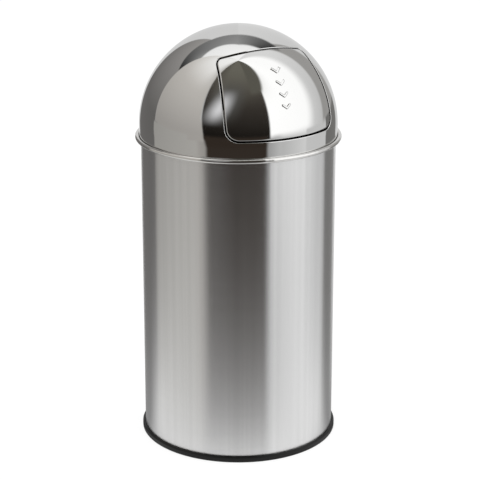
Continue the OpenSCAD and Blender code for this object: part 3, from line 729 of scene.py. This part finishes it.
for i in range(row_count):
    here, there = i * count, (i + 1) % row_count * count
    for j in range(count):
        k = (j + 1) % count
        if inside_from <= i < inside_to:
            inner.append(len(faces))
        # The cut edge and the rim's tip take the dark finish: painted shade in the flap's gap and in the
        # crease under the rim
        if i < 1 or i >= inside_to or abs(i - tip_row) <= SEAM_HALF:
            cut_faces_painted_dark.append(len(faces))
        elif rim_from <= i < inside_from:
            rim.append(len(faces))
        faces.append((here + j, there + j, there + k, here + k))
curved_sheet("dome", verts, ways, faces, "dome", "dome_shell", inner, cut_faces_painted_dark, rim)


# The flap: one smooth panel with four small chevrons pressed down its middle

def pressed(flat):
    """How far the sheet is pressed outwards at (x, z) points, in mm."""
    x, z = np.abs(flat[..., 0]), flat[..., 1]
    height = np.zeros(x.shape)
    for mid in MARK_HEIGHTS:
        point, end = np.array([0, mid - MARK_TALL / 2]), np.array([MARK_W / 2, mid + MARK_TALL / 2])
        arm = end - point
        share = np.clip(((x - point[0]) * arm[0] + (z - point[1]) * arm[1]) / (arm @ arm), 0, 1)
        off = np.hypot(x - point[0] - share * arm[0], z - point[1] - share * arm[1])
        near_it = np.clip(1.5 - off / MARK_LINE, 0, 1)  # 1 within half a line of the arm, 0 beyond 1.5 lines
        height = np.maximum(height, MARK_H * near_it * near_it * (3 - 2 * near_it))
    return height


def panel(flat, r, face):
    """Points and directions of the flap's face at radius r, with the pressed marks. face is 1 outside,
    -1 inside."""
    step = 0.05
    base = on_dome(flat, r)
    up = base / r
    dx = (pressed(flat + [step, 0]) - pressed(flat - [step, 0])) / (2 * step)
    dz = (pressed(flat + [0, step]) - pressed(flat - [0, step])) / (2 * step)
    lean = np.stack([dx, np.zeros(dx.shape), dz], -1)
    lean -= (lean * up).sum(-1)[..., None] * up
    return base + up * pressed(flat)[..., None], (up - lean) * face


# Steps of the mesh along the flap's edge, and the row of its rolled edge from which on the edge is dull and
# painted dark as shade in the gap
SIDE_STEPS, CORNER, FLAT, MIDDLE, PAINTED_DARK_FROM = 150, 8, 28, 12, 5
flat, outs = flap_edge(SIDE_STEPS, CORNER, FLAT, MIDDLE)
edge_rows = rolled_edge(flat, outs, -1, FLAP_BEND, FLAP_LIP, DOME_R - SINK)
wide, tall = 2 * (CORNER + FLAT + MIDDLE), SIDE_STEPS + 2 * CORNER
count = len(flat)


def shares(line):
    """How far along a line each of its points lies, as a share of its length."""
    run = np.concatenate([[0], np.cumsum(np.linalg.norm(np.diff(line, axis=0), axis=1))])
    return run / run[-1]


def patch(edge):
    """A grid of (x, z) points that fills the closed line edge, which starts at the middle of its lower
    side."""
    ring = np.roll(edge, wide // 2, 0)
    ring = np.concatenate([ring, ring[:1]])
    low, right = ring[:wide + 1], ring[wide:wide + tall + 1]
    high, left = ring[wide + tall:2 * wide + tall + 1][::-1], ring[2 * wide + tall:][::-1]
    u = ((shares(low) + shares(high)) / 2)[:, None, None]
    v = ((shares(left) + shares(right)) / 2)[None, :, None]
    return ((1 - v) * low[:, None] + v * high[:, None] + (1 - u) * left[None] + u * right[None]
            - (1 - u) * (1 - v) * low[0] - u * (1 - v) * low[-1] - (1 - u) * v * high[0] - u * v * high[-1])


def border_of(numbers):
    """The grid's border as a closed line, from the middle of its lower side."""
    ring = np.concatenate([numbers[:, 0], numbers[-1, 1:], numbers[-2::-1, -1], numbers[0, -2:0:-1]])
    return np.roll(ring, -(wide // 2))


verts, ways, faces, inner, cut_faces_painted_dark = [], [], [], [], []
borders = []
for row, r, face in ((edge_rows[0], DOME_R - SINK, 1), (edge_rows[-1], DOME_IN - SINK, -1)):
    points, directions = panel(patch(row[0][:, [0, 2]]), r, face)
    numbers = len(verts) + np.arange(points.shape[0] * points.shape[1]).reshape(points.shape[:2])
    verts += points.reshape(-1, 3).tolist()
    ways += directions.reshape(-1, 3).tolist()
    for i in range(wide):
        for j in range(tall):
            quad = (numbers[i, j], numbers[i + 1, j], numbers[i + 1, j + 1], numbers[i, j + 1])
            if face < 0:
                inner.append(len(faces))
            faces.append(tuple(int(n) for n in quad[::face]))
    borders.append(border_of(numbers))
loops = [borders[0]]
for p, w in edge_rows[1:-1]:
    loops.append(len(verts) + np.arange(count))
    verts += p.tolist()
    ways += w.tolist()
loops.append(borders[1])
for i, (a, b) in enumerate(zip(loops, loops[1:])):
    for j in range(count):
        k = (j + 1) % count
        # From this row on the flap's edge takes the dark finish: painted shade in the gap
        if i >= PAINTED_DARK_FROM:
            cut_faces_painted_dark.append(len(faces))
        faces.append((int(a[j]), int(b[j]), int(b[k]), int(a[k])))
curved_sheet("flap", verts, ways, faces, "flap", "flap_panel", inner, cut_faces_painted_dark)

# The stepped collar in the dome's skirt: a band welded to the skirt, a step that rests on the body's hem,
# and a sleeve inside it
COLLAR_EDGE, TIGHT_BEND, WIDE_BEND = 0.4, 0.2, 0.9
sleeve_in, sleeve_foot = COLLAR_R - COLLAR_T, BODY_TOP - COLLAR_DEPTH
band_in, band_top = BAND_R - COLLAR_T, BODY_TOP + COLLAR_BAND
section = rounded([(sleeve_in, sleeve_foot, COLLAR_EDGE), (COLLAR_R, sleeve_foot, COLLAR_EDGE),
                   (COLLAR_R, BODY_TOP, TIGHT_BEND), (BAND_R, BODY_TOP, WIDE_BEND),
                   (BAND_R, band_top, COLLAR_EDGE), (band_in, band_top, COLLAR_EDGE),
                   (band_in, BODY_TOP + COLLAR_T, TIGHT_BEND), (sleeve_in, BODY_TOP + COLLAR_T, WIDE_BEND)])
piece(spin(section), "seat_collar", "dome", "dome_collar", pressed_stainless)


# ---- Hinge

# The rod: ground bar with rounded ends, which the flap's arms turn on
ROD_ROUND = 0.6
pivot_y, pivot_z = PIVOT[0], PIVOT[1] + DOME_Z
rod_reach = CLIP_X + CLIP_T + ROD_END
section = rounded([(0, 0, 0), (ROD_R, 0, ROD_ROUND), (ROD_R, 2 * rod_reach, ROD_ROUND),
                   (0, 2 * rod_reach, 0)], 3)
bm = spin(section, 32, place=along_x(-rod_reach, pivot_y, pivot_z))
piece(bm, "rod", "dome", "hinge_rod", ground_bar)

# Push-on clips: a dished spring-steel washer with six teeth that bite the rod
CLIP_OUT, CLIP_OUT_H, CLIP_IN, CLIP_IN_H, CLIP_EDGE = 5.5, 0.4, 4.3, 0.6, 0.15
TEETH, TOOTH_T, TOOTH_SPLIT = 6, 0.35, 5
TOOTH_ROOT, TOOTH_TIP = (4.5, 0.05, 24), (3.05, 0.8, 20)  # radius, height and half its width in degrees
bm = bmesh.new()
for way in (1, -1):
    place = Matrix.Scale(way, 4, (1, 0, 0)) @ along_x(CLIP_X, pivot_y, pivot_z)
    washer = rounded([(CLIP_IN, 0, 0), (CLIP_OUT, 0, CLIP_EDGE), (CLIP_OUT, CLIP_OUT_H, CLIP_EDGE),
                      (CLIP_IN, CLIP_IN_H, 0)], 2)
    spin(washer, 36, bm, place)
    for tooth in range(TEETH):
        corners = []
        for h in (0.0, TOOTH_T):
            for r, z, half in (TOOTH_ROOT, TOOTH_TIP):
                for s in np.linspace(-half, half, TOOTH_SPLIT):
                    a = math.radians(360 / TEETH * tooth + s)
                    corner = Vector((r * math.cos(a), r * math.sin(a), z + h)) * MM
                    corners.append(bm.verts.new(place @ corner))
        root, tip, root_up, tip_up = (corners[k:k + TOOTH_SPLIT] for k in range(0, len(corners), TOOTH_SPLIT))
        for j in range(TOOTH_SPLIT - 1):
            bm.faces.new((root[j], root[j + 1], tip[j + 1], tip[j]))
            bm.faces.new((root_up[j], tip_up[j], tip_up[j + 1], root_up[j + 1]))
            bm.faces.new((root[j], root_up[j], root_up[j + 1], root[j + 1]))
            bm.faces.new((tip[j], tip[j + 1], tip_up[j + 1], tip_up[j]))
        bm.faces.new((root[0], tip[0], tip_up[0], root_up[0]))
        bm.faces.new((root[-1], root_up[-1], tip_up[-1], tip[-1]))
piece(bm, "clips", "dome", "rod_clips", spring_wire)

# Torsion springs: one wire from a leg on the flap, through five curls round the rod, to a leg under the dome
LEG_STEPS, CURL_STEPS = 12, 36 * SPRING_CURLS + 12
WIRE_R, WIRE_TIP_R = SPRING_WIRE / 2, SPRING_WIRE / 2 * 0.8
curl_r = ROD_R + SPRING_GAP + WIRE_R
first_x = (ARM_MID + EYE_LEN / 2 + BRACKET_MID - EYE_LEN / 2 - SPRING_CURLS * SPRING_PITCH) / 2
last_x = first_x + SPRING_CURLS * SPRING_PITCH
from_turn = FLAP_LEG + 90
to_turn = from_turn + 360 * SPRING_CURLS + DOME_LEG + 180 - FLAP_LEG


def polar(r, degrees):
    """A point in the (y, z) plane, r from its middle."""
    return np.array([r * math.cos(math.radians(degrees)), r * math.sin(math.radians(degrees))])


def leg_points(x, at_turn, heading, r):
    """A leg's points in the (y, z) plane, from the curl to where it meets the sheet of inner radius r."""
    p, d = PIVOT + polar(curl_r, at_turn), polar(1, heading)
    limit = math.sqrt(r * r - x * x) - WIRE_R - REST
    b = p @ d
    run = -b + math.sqrt(b * b - p @ p + limit * limit)
    return [p + d * run * k / LEG_STEPS for k in range(LEG_STEPS + 1)]


flap_leg = leg_points(first_x + WIRE_R, from_turn, FLAP_LEG, DOME_IN - WELD - FOOT_T)
dome_leg = leg_points(last_x + WIRE_R, to_turn, DOME_LEG, DOME_IN)
route = [(first_x, *p) for p in flap_leg[:0:-1]]
for k in range(CURL_STEPS + 1):
    p = PIVOT + polar(curl_r, from_turn + (to_turn - from_turn) * k / CURL_STEPS)
    route.append((first_x + (last_x - first_x) * k / CURL_STEPS, *p))
route += [(last_x, *p) for p in dome_leg[1:]]
radii = [WIRE_TIP_R] + [WIRE_R] * (len(route) - 2) + [WIRE_TIP_R]
for side, way in (("right", 1), ("left", -1)):
    points = [(way * x, y, z + DOME_Z) for x, y, z in route]
    spring = piece(tube(points, radii), f"spring_{side}", None, f"return_spring_{side}",
                   spring_wire)
    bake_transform(spring)

# The brackets, arms, lugs, buffers and ears keep their CAD shape, with their cut edges broken
KEPT_SHARP, BROKEN_FROM = math.radians(30), math.radians(40)
for kind, finish, width in (("hinge_bracket", pressed_stainless, 0.25),
                            ("hinge_arm", pressed_stainless, 0.25),
                            ("stop_lug", pressed_stainless, 0.2),
                            ("stop_buffer", buffer_rubber, 0.5),
                            ("bail_ear", galvanised, 0.2)):
    for side in ("left", "right"):
        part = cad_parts[f"{kind}_{side}"]
        part.data.materials.clear()
        part.data.materials.append(finish)
        part.data.shade_smooth()
        part.data.set_sharp_from_angle(angle=KEPT_SHARP)
        broken = part.modifiers.new("broken_edges", "BEVEL")
        broken.width = width * MM
        broken.segments = 2
        broken.limit_method = "ANGLE"
        broken.angle_limit = BROKEN_FROM


# ---- Liner and bail

# The liner's wall, its upper edge rolled outwards
CURL_END, CURL_TIP = -135, -140
curl_mid = (HOOP_R, LINER_RIM_Z)
section = around(curl_mid, LINER_RIM_R - LINER_T, 180, CURL_END, 30)
section += around(curl_mid, LINER_RIM_R - LINER_T / 2, CURL_TIP, CURL_TIP, 0)
section += around(curl_mid, LINER_RIM_R, CURL_END, 180, 30)
section += [(LINER_IN, PLATE_TOP), (LINER_R, PLATE_TOP)]
piece(spin(section), "liner", "liner", "liner_wall", galvanised)

# Its bottom, recessed, with a flange turned down inside the wall
FLANGE_EDGE, FLANGE_GAP, FLANGE_BEND = 0.25, 1, 0.8
edge, recess, flange_foot = LINER_IN - WELD, PLATE_TOP + LINER_RECESS, PLATE_TOP + FLANGE_GAP
section = rounded([(0, recess + LINER_T, 0), (edge, recess + LINER_T, FLANGE_BEND + LINER_T),
                   (edge, flange_foot, FLANGE_EDGE), (edge - LINER_T, flange_foot, FLANGE_EDGE),
                   (edge - LINER_T, recess, FLANGE_BEND), (0, recess, 0)])
piece(spin(section), "liner_floor", "liner", "liner_bottom", galvanised)

# The ears' rivets, with domed heads inside and out: a head's radii, each with its share of the head's height
DOMED = ((0, 1), (1.4, 0.92), (2.6, 0.62), (3.3, 0.25))
head_r, head_h = 1.75 * RIVET_R, RIVET_R / 2
inside, outside = EAR_R - EAR_T - WELD, LINER_R + WELD
section = [(r, inside - head_h * share) for r, share in DOMED]
section += [(head_r, inside), (RIVET_R, inside), (RIVET_R, outside), (head_r, outside)]
section += [(r, outside + head_h * share) for r, share in DOMED[::-1]]
bm = bmesh.new()
for way in (1, -1):
    for drop in (RIVET_DROP, RIVET_DROP + RIVET_PITCH):
        spin(section, 28, bm, Matrix.Scale(way, 4, (1, 0, 0)) @ along_x(0, 0, BAIL_Z - drop))
piece(bm, "rivets", "liner", "ear_rivets", ground_bar)

# The bail: one wire, its ends turned in through the ears and upset to a head
TURN_R, STRAIGHT_TO, HEAD_H, HEAD_EDGE = 4.0, 152, 0.3 * BAIL_D, 0.01
BAIL_R, UPSET_R, UPSET_TIP_R = BAIL_D / 2, 0.8 * BAIL_D, 0.7 * BAIL_D
head_in = EAR_R - EAR_T - UPSET_R
head_out = head_in - HEAD_H
stations = (head_out, head_out + HEAD_EDGE, head_in - HEAD_EDGE, head_in, head_in + 1, STRAIGHT_TO)
half = [(x, 0) for x in stations]
widths = [UPSET_TIP_R, UPSET_R, UPSET_R, BAIL_R, BAIL_R, BAIL_R]
turn_mid = (HOOP_R - TURN_R, TURN_R)
half += around(turn_mid, TURN_R, -90, 0, 8)
begin = math.degrees(math.asin(TURN_R / HOOP_R))
half += around((0, 0), HOOP_R, begin, 90, 59)[1:]
widths += [BAIL_R] * (len(half) - len(widths))
route = [(x, y, BAIL_Z) for x, y in half] + [(-x, y, BAIL_Z) for x, y in half[-2::-1]]
bail = tube(route, widths + widths[-2::-1], 16)
piece(bail, "bail", "bail", "bail_wire", galvanised)
